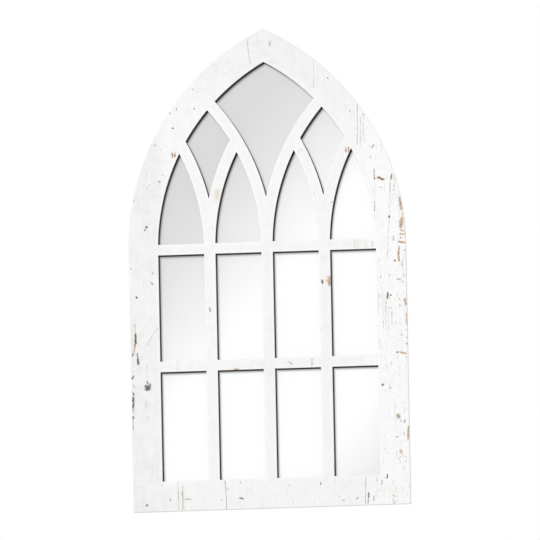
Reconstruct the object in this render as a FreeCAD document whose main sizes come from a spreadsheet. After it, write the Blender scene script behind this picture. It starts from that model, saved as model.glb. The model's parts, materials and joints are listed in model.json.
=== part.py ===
import FreeCAD, Part
import os

import Sketcher

# An arched window mirror: a machined face panel with fifteen openings, one mirror sheet behind it in
# a pocket of battens, a backing board, two ring hangers and four wall bumpers.
#
# Every sub-part is drawn lying on its back: x across, y up the mirror from its bottom edge, z from
# its own rear face towards the viewer. Its placement then stands it up behind the wall plane Y = 0,
# front towards -Y, with Z = 0 at the height where the two wall hooks carry the rings.

doc = FreeCAD.newDocument("arched_window_mirror")
sheet = doc.addObject("Spreadsheet::Sheet", "Sizes")

DRIVING_SIZES = [
    ("face_width", 660.4, "width of the face panel"),
    ("face_height", 1143, "height of the face panel, bottom edge to point"),
    ("face_thickness", 18, "thickness of the face panel"),
    ("springing_height", 622.8, "height at which the sides turn into the arch"),
    ("border_width", 70.5, "width of the face around the openings, at the sides and arch"),
    ("bottom_rail", 70.5, "height of the face below the lowest openings"),
    ("bar_width", 27, "width of an upright bar and of a curved rib"),
    ("crossbar_height", 25, "height of a crossbar"),
    ("lower_bar_level", 344.3, "height of the lower crossbar's middle"),
    ("mirror_thickness", 3, "thickness of the mirror sheet"),
    ("mirror_lap", 15, "how far the mirror runs behind the border"),
    ("mirror_play", 1.5, "gap between the mirror's edge and the battens"),
    ("foam_thickness", 2, "thickness of the foam strips"),
    ("foam_width", 12, "width of a foam strip"),
    ("foam_pitch", 118, "spacing of the foam strips"),
    ("foam_margin", 30, "distance of a strip's end from the mirror's bottom edge or the springing"),
    ("arch_foam_length", 280, "length of the strips in the arch"),
    ("batten_inset", 6, "how far the battens stand in from the face's edge"),
    ("board_thickness", 3, "thickness of the backing board"),
    ("board_inset", 8, "how far the board stands in from the face's edge"),
    ("fixing_inset", 35, "distance of screws, bumpers and hangers from the face's edge"),
    ("side_screw_start", 92, "height of the lowest screw at each side"),
    ("side_screw_end", 40, "distance of the highest side screw below the springing"),
    ("bottom_screw_pitch", 128, "spacing of the screws along the bottom"),
    ("screw_radius", 1.75, "radius of a backing screw's shank"),
    ("screw_length", 16, "length of a backing screw below its head"),
    ("screw_head_radius", 3.4, "radius of a backing screw's head"),
    ("screw_head_height", 2.2, "height of a backing screw's head"),
    ("screw_play", 0.25, "gap around a screw in the pieces that it clamps"),
    ("screw_bite", 0.05, "gap around a screw in the piece that it holds in"),
    ("screw_tip_room", 1, "depth of a pilot hole past the screw's end"),
    ("recess_reach", 1.9, "half the span of a screw's cross recess"),
    ("recess_width", 0.8, "width of a slot of the cross recess"),
    ("recess_depth", 1.2, "depth of the cross recess"),
    ("hanger_rise", 118, "height of the hanger pivots above the springing"),
    ("strap_width", 14, "width of a hanger strap"),
    ("strap_thickness", 1.2, "thickness of a hanger strap"),
    ("strap_hole_drop", 27, "distance of the first strap hole below the pivot"),
    ("strap_hole_pitch", 13, "spacing of the strap's two holes"),
    ("strap_end", 7, "strap left below the second hole's centre"),
    ("ring_wire_radius", 1.5, "radius of the ring's wire"),
    ("ring_play", 0.1, "gap around the wire in the strap's loop"),
    ("ring_opening", 21, "clear width of the ring"),
    ("ring_depth", 17, "clear depth of the ring, straight bar to bow"),
    ("ring_corner", 3, "radius of the ring's two corners, on the wire's centre line"),
    ("hanger_screw_radius", 1.75, "radius of a hanger screw's shank"),
    ("hanger_screw_length", 16, "length of a hanger screw below its head"),
    ("hanger_head_radius", 3.6, "radius of a hanger screw's head"),
    ("hanger_head_height", 2.2, "height of a hanger screw's head"),
    ("bumper_height", 6, "gap that the bumpers keep between board and wall"),
    ("bumper_radius", 6.5, "radius of a bumper where it sticks to the board"),
    ("bumper_wall_radius", 4.5, "radius of a bumper's flat against the wall"),
    ("bumper_straight", 2, "height of a bumper's upright side"),
]
WINDOW_COLUMNS = 4
SIDE_SCREWS = 4
BOTTOM_SCREWS = 4
ARCH_SCREW_PLACES = (0.40, 0.66, 0.91)  # shares of the way from the springing to the point
ARCH_BUMPER_PLACE = 0.53
FOAM_COLUMNS = 5
ARCH_FOAM_COLUMNS = 3
SIDES = {"left": -1, "right": 1}

for row, (alias, value, note) in enumerate(DRIVING_SIZES, start=1):
    sheet.set(f"A{row}", note)
    sheet.set(f"B{row}", str(value))
    sheet.setAlias(f"B{row}", alias)
doc.recompute()

# Sizes that follow from the driving ones, as expressions on the sheet. Each side of the arch is one
# arc whose centre lies on the springing line, past the middle by arc_shift.
half_width = "(Sizes.face_width / 2)"
arch_rise = "(Sizes.face_height - Sizes.springing_height)"
outer_radius = f"(({arch_rise} ^ 2 + {half_width} ^ 2) / Sizes.face_width)"
arc_shift = f"({outer_radius} - {half_width})"
opening_radius = f"({outer_radius} - Sizes.border_width)"
opening_width = "(Sizes.face_width - 2 * Sizes.border_width)"
bar_pitch = f"(({opening_width} + Sizes.bar_width) / {WINDOW_COLUMNS})"
rib_reach = f"({opening_radius} + Sizes.bar_width / 2)"

mirror_inset = "(Sizes.border_width - Sizes.mirror_lap)"
pocket_inset = f"({mirror_inset} - Sizes.mirror_play)"
mirror_bottom = "(Sizes.bottom_rail - Sizes.mirror_lap)"
pocket_bottom = f"({mirror_bottom} - Sizes.mirror_play)"
pocket_depth = "(Sizes.mirror_thickness + Sizes.foam_thickness)"
batten_width = f"({pocket_inset} - Sizes.batten_inset)"

# Distances of each layer's rear face from the wall.
board_back = "Sizes.bumper_height"
pocket_back = f"({board_back} + Sizes.board_thickness)"
mirror_back = f"({pocket_back} + Sizes.foam_thickness)"
face_back = f"({pocket_back} + {pocket_depth})"

fixing_radius = f"({outer_radius} - Sizes.fixing_inset)"
fixing_apex_angle = f"acos({arc_shift} / {fixing_radius})"
fixing_side = f"({half_width} - Sizes.fixing_inset)"
hanger_level = "(Sizes.springing_height + Sizes.hanger_rise)"
hanger_side = f"(sqrt({fixing_radius} ^ 2 - Sizes.hanger_rise ^ 2) - {arc_shift})"
loop_radius = "(Sizes.ring_wire_radius + Sizes.ring_play + Sizes.strap_thickness)"
ring_drop = "(Sizes.ring_depth + 2 * Sizes.ring_wire_radius)"
bow_radius = "(Sizes.ring_opening / 2 + Sizes.ring_wire_radius)"
hook_level = f"({hanger_level} + Sizes.ring_depth + Sizes.ring_wire_radius)"

THROUGH = 60  # half the length of a cutting tool that has to pass right through a piece
ROOT_TWO = "sqrt(2)"

sub_parts = {}


def bind(thing, **expressions):
    """Set each property of thing from an expression on the sheet."""
    for name, expression in expressions.items():
        thing.setExpression(name, str(expression))
    return thing


def place(thing, x="0", y="0", z="0", turn=0):
    """Put thing at an x, y, z given as expressions, turned about z by degrees."""
    upright = FreeCAD.Vector(0, 0, 1)
    thing.Placement = FreeCAD.Placement(FreeCAD.Vector(), FreeCAD.Rotation(upright, turn))
    for axis, expression in (("x", x), ("y", y), ("z", z)):
        thing.setExpression(f"Placement.Base.{axis}", str(expression))
    return thing


def box(name, x, y, z, length, width, height):
    solid = bind(doc.addObject("Part::Box", name), Length=length, Width=width, Height=height)
    return place(solid, x, y, z)


def disc(name, x, y, z, radius, height, angle=360, turn=0):
    """A cylinder standing on z, or a sector of one."""
    solid = bind(doc.addObject("Part::Cylinder", name), Radius=radius, Height=height, Angle=angle)
    return place(solid, x, y, z, turn)


def joined(name, pieces):
    fusion = doc.addObject("Part::MultiFuse", name)
    fusion.Shapes = pieces
    fusion.Refine = True
    return fusion


def shared(name, pieces):
    """The space that all the pieces have in common."""
    common = doc.addObject("Part::MultiCommon", name)
    common.Shapes = pieces
    common.Refine = True
    return common


def without(name, base, tool):
    cut = doc.addObject("Part::Cut", name)
    cut.Base = base
    cut.Tool = tool
    cut.Refine = True
    return cut


def group(name, pieces):
    compound = doc.addObject("Part::Compound", name)
    compound.Links = pieces
    return compound


def stand(thing, label, back, x="0", y="0"):
    """Finish a sub-part: name it and stand it up with its z = 0 at a distance from the wall."""
    thing.Label = label
    thing.Placement = FreeCAD.Placement(
        FreeCAD.Vector(), FreeCAD.Rotation(FreeCAD.Vector(1, 0, 0), 90)
    )
    thing.setExpression("Placement.Base.x", str(x))
    thing.setExpression("Placement.Base.y", f"-({back})")
    thing.setExpression("Placement.Base.z", f"{y} - {hook_level}")
    sub_parts[label] = thing
    return thing


def arch(name, inset, bottom, thickness):
    """A sheet with the mirror's outline, inset from the face's edge, from a bottom level up.

    Each half of the outline belongs to a half disc that stands on a block; what both share is the
    pointed arch with its upright sides.
    """
    radius = f"({outer_radius} - {inset})"
    halves = []
    for side, sign in SIDES.items():
        centre = f"{sign} * {arc_shift}"
        crown = disc(f"{name}_{side}_crown", centre, "Sizes.springing_height", 0,
                     radius, thickness, angle=180)
        block = box(f"{name}_{side}_block", f"{centre} - {radius}", bottom, 0,
                    f"2 * {radius}", f"Sizes.springing_height - {bottom}", thickness)
        halves.append(joined(f"{name}_{side}_half", [crown, block]))
    return shared(f"{name}_sheet", halves)


def on_origin_plane(body, role, name):
    """A sketch in body, attached to one of the body's own origin planes."""
    sketch = body.newObject("Sketcher::SketchObject", name)
    plane = next(item for item in body.Origin.OriginFeatures if item.Role == role)
    sketch.AttachmentSupport = [(plane, "")]
    sketch.MapMode = "FlatFace"
    return sketch


def outline(sketch, corners):
    """Draw a closed outline through corners, each an (x, y) pair of expressions."""
    count = len(corners)
    for index in range(count):
        start = FreeCAD.Vector(index, index * index, 0)
        end = FreeCAD.Vector(index + 1, (index + 1) ** 2, 0)
        sketch.addGeometry(Part.LineSegment(start, end), False)
    for index in range(count):
        sketch.addConstraint(Sketcher.Constraint("Coincident", index, 2, (index + 1) % count, 1))
    for index, corner in enumerate(corners):
        for kind, expression in zip(("DistanceX", "DistanceY"), corner):
            size = float(sheet.evalExpression(str(expression)))
            number = sketch.addConstraint(Sketcher.Constraint(kind, -1, 1, index, 1, size))
            sketch.setExpression(f"Constraints[{number}]", str(expression))


def screw(name, radius, length, head_radius, head_height):
    """A pan head screw: z = 0 on top of its head, shank towards +z, cross recess in the head."""
    body = doc.addObject("PartDesign::Body", name)
    crown = f"{head_radius} * 0.7"
    tip = f"{radius} * 0.4"
    end = f"{head_height} + {length}"
    profile = on_origin_plane(body, "XZ_Plane", f"{name}_profile")
    outline(profile, [
        ("0", "0"),
        (crown, "0"),
        (head_radius, f"{head_height} * 0.5"),
        (head_radius, head_height),
        (radius, head_height),
        (radius, f"{end} - {radius} * 1.5"),
        (tip, end),
        ("0", end),
    ])
    turned = body.newObject("PartDesign::Revolution", f"{name}_turned")
    turned.Profile = profile
    turned.ReferenceAxis = (profile, ["V_Axis"])
    turned.Angle = 360
    arm = "Sizes.recess_reach"
    slot = "Sizes.recess_width / 2"
    cross = on_origin_plane(body, "XY_Plane", f"{name}_cross")
    quarter = [(arm, slot), (slot, slot), (slot, arm)]
    corners = []
    for turn_x, turn_y, order in ((1, 1, 1), (-1, 1, -1), (-1, -1, 1), (1, -1, -1)):
        for x, y in quarter[::order]:
            corners.append((f"{turn_x} * ({x})", f"{turn_y} * ({y})"))
    outline(cross, corners)
    recess = body.newObject("PartDesign::Pocket", f"{name}_recess")
    recess.Profile = cross
    recess.Reversed = True
    recess.setExpression("Length", "Sizes.recess_depth")
    return body


def copies(name, master, places, z="0"):
    """Link master at each (x, y) place."""
    links = []
    for index, (x, y) in enumerate(places, start=1):
        link = doc.addObject("App::Link", f"{name}_{index}")
        link.LinkedObject = master
        link.LinkTransform = False
        links.append(place(link, x, y, z))
    return links


def on_arch(share, sign):
    """A point on the fixing line of one side of the arch, a share of the way up to its point."""
    angle = f"({share} * {fixing_apex_angle})"
    x = f"{sign} * ({fixing_radius} * cos({angle}) - {arc_shift})"
    return x, f"Sizes.springing_height + {fixing_radius} * sin({angle})"


# Where the fixings go.

screw_places = []
side_run = "(Sizes.springing_height - Sizes.side_screw_end - Sizes.side_screw_start)"
for sign in SIDES.values():
    for index in range(SIDE_SCREWS):
        level = f"Sizes.side_screw_start + {side_run} * {index} / {SIDE_SCREWS - 1}"
        screw_places.append((f"{sign} * {fixing_side}", level))
    for share in ARCH_SCREW_PLACES:
        screw_places.append(on_arch(share, sign))
for index in range(BOTTOM_SCREWS):
    step = index - (BOTTOM_SCREWS - 1) / 2
    screw_places.append((f"{step} * Sizes.bottom_screw_pitch", "Sizes.fixing_inset"))

hanger_places = {}
for side, sign in SIDES.items():
    across = f"{sign} * {hanger_side}"
    first = f"{hanger_level} - Sizes.strap_hole_drop"
    hanger_places[side] = [(across, first), (across, f"{first} - Sizes.strap_hole_pitch")]
all_hanger_places = hanger_places["left"] + hanger_places["right"]

bumper_places = {}
for side, sign in SIDES.items():
    bumper_places[f"lower_{side}"] = (f"{sign} * {fixing_side}", "Sizes.fixing_inset")
    bumper_places[f"upper_{side}"] = on_arch(ARCH_BUMPER_PLACE, sign)


def holes(name, bottom, height, gap):
    """Round cutting tools for every screw, wider than the screw by a gap all round."""
    tools = []
    for index, (x, y) in enumerate(screw_places, start=1):
        tools.append(disc(f"{name}_backing_{index}", x, y, bottom,
                          f"Sizes.screw_radius + {gap}", height))
    for index, (x, y) in enumerate(all_hanger_places, start=1):
        tools.append(disc(f"{name}_hanger_{index}", x, y, bottom,
                          f"Sizes.hanger_screw_radius + {gap}", height))
    return tools


# Face panel: the border, three upright bars, two crossbars and six curved ribs, cut from one sheet.


def rib(name, foot, lean):
    """A curved rib on the bar at foot, leaning left (-1) or right (1) as it rises."""
    centre = f"{foot} + {lean} * {rib_reach}"
    turn = 90 if lean > 0 else 0
    rim = disc(f"{name}_rim", centre, "Sizes.springing_height", 0,
               f"{rib_reach} + Sizes.bar_width / 2", "Sizes.face_thickness", 90, turn)
    core = disc(f"{name}_core", centre, "Sizes.springing_height", 0,
                f"{rib_reach} - Sizes.bar_width / 2", "Sizes.face_thickness", 90, turn)
    return without(name, rim, core)


face_blank = arch("face_blank", 0, "0", "Sizes.face_thickness")
face_opening = arch("face_opening", "Sizes.border_width", "Sizes.bottom_rail",
                    "Sizes.face_thickness")
border = without("border", face_blank, face_opening)

# The bars run into the border and end halfway through it.
bars_end = arch("bars_end", "Sizes.border_width / 2", "Sizes.bottom_rail / 2",
                "Sizes.face_thickness")
bars = []
for index in range(1, WINDOW_COLUMNS):
    middle = f"({index} - {WINDOW_COLUMNS} / 2) * {bar_pitch}"
    bars.append(box(f"upright_bar_{index}", f"{middle} - Sizes.bar_width / 2", 0, 0,
                    "Sizes.bar_width", "Sizes.springing_height", "Sizes.face_thickness"))
for name, level in (("lower", "Sizes.lower_bar_level"), ("upper", "Sizes.springing_height")):
    bars.append(box(f"{name}_crossbar", f"-{half_width}", f"{level} - Sizes.crossbar_height / 2", 0,
                    "Sizes.face_width", "Sizes.crossbar_height", "Sizes.face_thickness"))
for side, sign in SIDES.items():
    long_rib = rib(f"long_rib_{side}", "0", sign)
    outer_rib = rib(f"outer_rib_{side}", f"{sign} * {bar_pitch}", sign)
    # The rib that leans inwards stops in the middle of the long rib.
    stop = disc(f"rib_stop_{side}", f"{sign} * {rib_reach}", "Sizes.springing_height", 0,
                rib_reach, "Sizes.face_thickness", 180)
    leaning = rib(f"leaning_rib_{side}", f"{sign} * {bar_pitch}", -sign)
    bars += [long_rib, outer_rib, shared(f"inner_rib_{side}", [leaning, stop])]
lattice = shared("lattice", [joined("all_bars", bars), bars_end])
cut_out = joined("cut_out", [border, lattice])

pilot_depth = (f"Sizes.screw_length - Sizes.board_thickness - {pocket_depth}"
               " + Sizes.screw_tip_room")
pilot_tools = holes("pilot", "-1", f"{pilot_depth} + 1", "Sizes.screw_bite")
stand(without("face_with_pilots", cut_out, group("pilots", pilot_tools)), "face_panel", face_back)

# Mirror sheet and the foam strips that press it forward.

stand(arch("mirror", mirror_inset, mirror_bottom, "Sizes.mirror_thickness"), "mirror_glass",
      mirror_back)

strips = []
strip_bottom = f"{mirror_bottom} + Sizes.foam_margin"
for index in range(FOAM_COLUMNS):
    step = index - (FOAM_COLUMNS - 1) / 2
    strips.append(box(f"foam_{index + 1}", f"{step} * Sizes.foam_pitch - Sizes.foam_width / 2",
                      strip_bottom, 0, "Sizes.foam_width",
                      f"Sizes.springing_height - Sizes.foam_margin - ({strip_bottom})",
                      "Sizes.foam_thickness"))
for index in range(ARCH_FOAM_COLUMNS):
    step = index - (ARCH_FOAM_COLUMNS - 1) / 2
    strips.append(box(f"arch_foam_{index + 1}", f"{step} * Sizes.foam_pitch - Sizes.foam_width / 2",
                      "Sizes.springing_height + Sizes.foam_margin", 0, "Sizes.foam_width",
                      "Sizes.arch_foam_length", "Sizes.foam_thickness"))
stand(group("foam_strips", strips), "mirror_foam_strips", pocket_back)

# Battens around the mirror: two sides, one bottom between them and two arch pieces that meet the
# sides at the springing and each other at the point.

for side, sign in SIDES.items():
    outer_face = f"({half_width} - Sizes.batten_inset)"
    low_x = f"-{outer_face}" if sign < 0 else f"{outer_face} - {batten_width}"
    straight = box(f"{side}_batten_blank", low_x, "Sizes.batten_inset", 0, batten_width,
                   "Sizes.springing_height - Sizes.batten_inset", pocket_depth)
    drilled = group(f"{side}_batten_holes",
                    holes(f"{side}_batten", -THROUGH, 2 * THROUGH, "Sizes.screw_play"))
    stand(without(f"{side}_batten_piece", straight, drilled), f"{side}_batten", pocket_back)

    # The centre of an arc lies on the far side of the middle, so its sector opens towards its side.
    turn = 90 if sign < 0 else 0
    centre = f"{-sign} * {arc_shift}"
    rim = disc(f"{side}_arch_rim", centre, "Sizes.springing_height", 0,
               f"{outer_radius} - Sizes.batten_inset", pocket_depth, 90, turn)
    core = disc(f"{side}_arch_core", centre, "Sizes.springing_height", 0,
                f"{outer_radius} - {pocket_inset}", pocket_depth, 90, turn)
    low_x = f"-{half_width}" if sign < 0 else "0"
    half_room = box(f"{side}_arch_room", low_x, "Sizes.springing_height", 0, half_width,
                    arch_rise, pocket_depth)
    curved = shared(f"{side}_arch_blank", [without(f"{side}_arch_ring", rim, core), half_room])
    drilled = group(f"{side}_arch_holes",
                    holes(f"{side}_arch", -THROUGH, 2 * THROUGH, "Sizes.screw_play"))
    stand(without(f"{side}_arch_piece", curved, drilled), f"{side}_arch_batten", pocket_back)

bottom_span = f"2 * ({half_width} - Sizes.batten_inset - {batten_width})"
bottom_blank = box("bottom_batten_blank", f"-({bottom_span}) / 2", "Sizes.batten_inset", 0,
                   bottom_span, f"{pocket_bottom} - Sizes.batten_inset", pocket_depth)
drilled = group("bottom_batten_holes",
                holes("bottom_batten", -THROUGH, 2 * THROUGH, "Sizes.screw_play"))
stand(without("bottom_batten_piece", bottom_blank, drilled), "bottom_batten", pocket_back)

# Backing board and its screws.

board_blank = arch("board", "Sizes.board_inset", "Sizes.board_inset", "Sizes.board_thickness")
drilled = group("board_holes", holes("board", -THROUGH, 2 * THROUGH, "Sizes.screw_play"))
stand(without("board_piece", board_blank, drilled), "backing_board", board_back)

backing_screw = screw("backing_screw", "Sizes.screw_radius", "Sizes.screw_length",
                      "Sizes.screw_head_radius", "Sizes.screw_head_height")
stand(group("backing_screw_set",
            copies("backing_screw_at", backing_screw, screw_places, "-Sizes.screw_head_height")),
      "backing_screws", board_back)

# Hangers. A strap and its ring are drawn about the middle of the pivot, with z = 0 on the board.

hanger_screw = screw("hanger_screw", "Sizes.hanger_screw_radius", "Sizes.hanger_screw_length",
                     "Sizes.hanger_head_radius", "Sizes.hanger_head_height")


def along_x(name, radius, length):
    """A bar along x, centred on the pivot axis."""
    bar = bind(doc.addObject("Part::Cylinder", name), Radius=radius, Height=length)
    bar.Placement = FreeCAD.Placement(
        FreeCAD.Vector(), FreeCAD.Rotation(FreeCAD.Vector(0, 1, 0), 90)
    )
    bar.setExpression("Placement.Base.x", f"-({length}) / 2")
    bar.setExpression("Placement.Base.z", f"-{loop_radius}")
    return bar


def bend(name, x, y, radius, angle, turn):
    """A bend of the ring's wire about (x, y), starting at turn degrees."""
    wire = bind(doc.addObject("Part::Torus", name), Radius1=radius,
                Radius2="Sizes.ring_wire_radius", Angle3=angle)
    return place(wire, x, y, f"-{loop_radius}", turn)


def wire_leg(name, x, low, high):
    leg = bind(doc.addObject("Part::Cylinder", name), Radius="Sizes.ring_wire_radius",
               Height=f"{high} - ({low})")
    leg.Placement = FreeCAD.Placement(
        FreeCAD.Vector(), FreeCAD.Rotation(FreeCAD.Vector(1, 0, 0), -90)
    )
    for axis, expression in (("x", x), ("y", low), ("z", f"-{loop_radius}")):
        leg.setExpression(f"Placement.Base.{axis}", expression)
    return leg


def hanger_strap(side):
    end = "(Sizes.strap_hole_drop + Sizes.strap_hole_pitch)"
    half_strap = "(Sizes.strap_width / 2)"
    plate = box(f"{side}_strap_plate", f"-{half_strap}", f"-{end}", "-Sizes.strap_thickness",
                "Sizes.strap_width", end, "Sizes.strap_thickness")
    tongue = box(f"{side}_strap_tongue", f"-{half_strap}", f"-({end} + Sizes.strap_end)",
                 "-Sizes.strap_thickness", "Sizes.strap_width", "Sizes.strap_end",
                 "Sizes.strap_thickness")
    rounding = disc(f"{side}_strap_round", 0, f"-({end} + Sizes.strap_end) + {half_strap}",
                    "-Sizes.strap_thickness", half_strap, "Sizes.strap_thickness")
    tip = shared(f"{side}_strap_tip", [tongue, rounding])
    loop = along_x(f"{side}_strap_loop", loop_radius, "Sizes.strap_width")
    solid = joined(f"{side}_strap_solid", [plate, tip, loop])
    tools = [along_x(f"{side}_strap_bore", "Sizes.ring_wire_radius + Sizes.ring_play",
                     "2 * Sizes.strap_width")]
    for index in range(2):
        drop = f"-(Sizes.strap_hole_drop + {index} * Sizes.strap_hole_pitch)"
        tools.append(disc(f"{side}_strap_hole_{index + 1}", 0, drop, "-2 * Sizes.strap_thickness",
                          "Sizes.hanger_screw_radius + Sizes.screw_play",
                          "4 * Sizes.strap_thickness"))
    return without(f"{side}_strap", solid, group(f"{side}_strap_tools", tools))


def hanger_ring(side):
    """A D-shaped ring, hanging straight down from its bar."""
    leg_end = f"-({ring_drop} - {bow_radius})"
    pieces = [
        along_x(f"{side}_ring_bar", "Sizes.ring_wire_radius",
                f"2 * ({bow_radius} - Sizes.ring_corner)"),
        bend(f"{side}_ring_bow", 0, leg_end, bow_radius, 180, 180),
    ]
    for sign in SIDES.values():
        pieces.append(wire_leg(f"{side}_ring_leg_{sign + 2}", f"{sign} * {bow_radius}", leg_end,
                               "-Sizes.ring_corner"))
        pieces.append(bend(f"{side}_ring_corner_{sign + 2}",
                           f"{sign} * ({bow_radius} - Sizes.ring_corner)", "-Sizes.ring_corner",
                           "Sizes.ring_corner", 90, 0 if sign > 0 else 90))
    return joined(f"{side}_ring", pieces)


for side, sign in SIDES.items():
    across = f"{sign} * {hanger_side}"
    stand(hanger_strap(side), f"{side}_hanger_strap", board_back, across, hanger_level)
    stand(hanger_ring(side), f"{side}_hanger_ring", board_back, across, hanger_level)
    head_top = "-(Sizes.strap_thickness + Sizes.hanger_head_height)"
    screws = copies(f"{side}_hanger_screw_at", hanger_screw, hanger_places[side], head_top)
    stand(group(f"{side}_hanger_screw_set", screws), f"{side}_hanger_screws", board_back)

# Bumpers, each turned about its own middle with z = 0 on the board and its flat against the wall.

for name, (x, y) in bumper_places.items():
    body = doc.addObject("PartDesign::Body", f"{name}_bumper_body")
    profile = on_origin_plane(body, "XZ_Plane", f"{name}_bumper_profile")
    outline(profile, [
        ("0", "-Sizes.bumper_height"),
        ("Sizes.bumper_wall_radius", "-Sizes.bumper_height"),
        ("Sizes.bumper_radius", "-Sizes.bumper_straight"),
        ("Sizes.bumper_radius", "0"),
        ("0", "0"),
    ])
    turned = body.newObject("PartDesign::Revolution", f"{name}_bumper_turned")
    turned.Profile = profile
    turned.ReferenceAxis = (profile, ["V_Axis"])
    turned.Angle = 360
    stand(body, f"{name}_bumper", board_back, x, y)

# Recompute, check everything and write one file for each sub-part.

doc.recompute()
for item in doc.Objects:
    if "Invalid" in item.State or "Error" in item.State:
        raise RuntimeError(f"{item.Name} failed: {item.State}")
os.makedirs("parts", exist_ok=True)
for label, item in sub_parts.items():
    if item.Shape.isNull() or not item.Shape.isValid():
        raise RuntimeError(f"{label} has no valid shape")
for label, item in sub_parts.items():
    item.Shape.exportStep(f"parts/{label}.step")
    box_size = item.Shape.BoundBox
    print(f"{label:22s} solids {len(item.Shape.Solids):2d}  volume {item.Shape.Volume:11.1f}  "
          f"X {box_size.XMin:8.2f} {box_size.XMax:8.2f}  Y {box_size.YMin:7.2f} {box_size.YMax:7.2f}  "
          f"Z {box_size.ZMin:8.2f} {box_size.ZMax:8.2f}")
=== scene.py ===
import json
import math
import random

import bmesh
import bpy
import numpy as np
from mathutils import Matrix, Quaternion, Vector, kdtree, noise
from mathutils.geometry import delaunay_2d_cdt


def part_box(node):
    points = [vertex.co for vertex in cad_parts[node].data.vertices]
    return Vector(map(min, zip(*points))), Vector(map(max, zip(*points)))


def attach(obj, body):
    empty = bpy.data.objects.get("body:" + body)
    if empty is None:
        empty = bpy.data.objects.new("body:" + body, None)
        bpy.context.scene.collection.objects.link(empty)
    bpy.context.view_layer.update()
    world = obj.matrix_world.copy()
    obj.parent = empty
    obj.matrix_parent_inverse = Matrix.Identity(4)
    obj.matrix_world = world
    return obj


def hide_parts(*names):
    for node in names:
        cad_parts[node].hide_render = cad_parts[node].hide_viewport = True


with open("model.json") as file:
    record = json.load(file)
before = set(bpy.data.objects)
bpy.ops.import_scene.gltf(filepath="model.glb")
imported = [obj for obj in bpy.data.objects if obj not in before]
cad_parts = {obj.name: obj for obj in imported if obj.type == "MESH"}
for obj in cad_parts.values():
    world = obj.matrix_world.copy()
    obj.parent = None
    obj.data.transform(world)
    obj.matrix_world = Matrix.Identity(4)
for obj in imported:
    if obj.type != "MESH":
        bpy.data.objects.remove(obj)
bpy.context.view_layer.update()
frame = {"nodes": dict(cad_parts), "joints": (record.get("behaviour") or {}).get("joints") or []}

# An arched window mirror with a worn white face. Sizes are in millimetres unless a note says
# otherwise; heights are measured up from the bottom edge of the face.

faceLow, faceHigh = (corner * 1000 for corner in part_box("face_panel"))
mirrorLow, mirrorHigh = (corner * 1000 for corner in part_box("mirror_glass"))
bottomEdge = faceLow.z
random.seed(11)
print("frame loaded:", len(frame["nodes"]), "nodes")


def operatorFor(operation, swapped=False):
    # the method behind an operator of a Wire
    def work(self, other):
        first, second = (other, self) if swapped else (self, other)
        return self.sheet.combine(operation, first, second)
    return work


class Wire:
    # one output socket; sums on it add the nodes that work them out
    def __init__(self, sheet, socket):
        self.sheet, self.socket = sheet, socket
        self.isVector = socket.type in ("VECTOR", "RGBA")

    __add__, __radd__ = operatorFor("ADD"), operatorFor("ADD", swapped=True)
    __sub__, __rsub__ = operatorFor("SUBTRACT"), operatorFor("SUBTRACT", swapped=True)
    __mul__, __rmul__ = operatorFor("MULTIPLY"), operatorFor("MULTIPLY", swapped=True)
    __truediv__, __rtruediv__ = operatorFor("DIVIDE"), operatorFor("DIVIDE", swapped=True)
    __lt__, __gt__ = operatorFor("LESS_THAN"), operatorFor("GREATER_THAN")
    most = operatorFor("MAXIMUM")

    def __abs__(self):
        return self.sheet.node("Math", {"operation": "ABSOLUTE"}, {0: self})

    def part(self, name):
        # X, Y or Z of a place, or Red, Green or Blue of a colour
        if self.socket.type == "RGBA":
            return self.sheet.node("SeparateColor", None, {"Color": self}, name)
        return self.sheet.node("SeparateXYZ", None, {"Vector": self}, name)

    def fade(self, low, high, fromValue=0.0, toValue=1.0):
        # smooth step of this value between low and high
        return self.sheet.node("MapRange", {"interpolation_type": "SMOOTHSTEP"}, {
            "Value": self, "From Min": low, "From Max": high,
            "To Min": fromValue, "To Max": toValue,
        })


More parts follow.
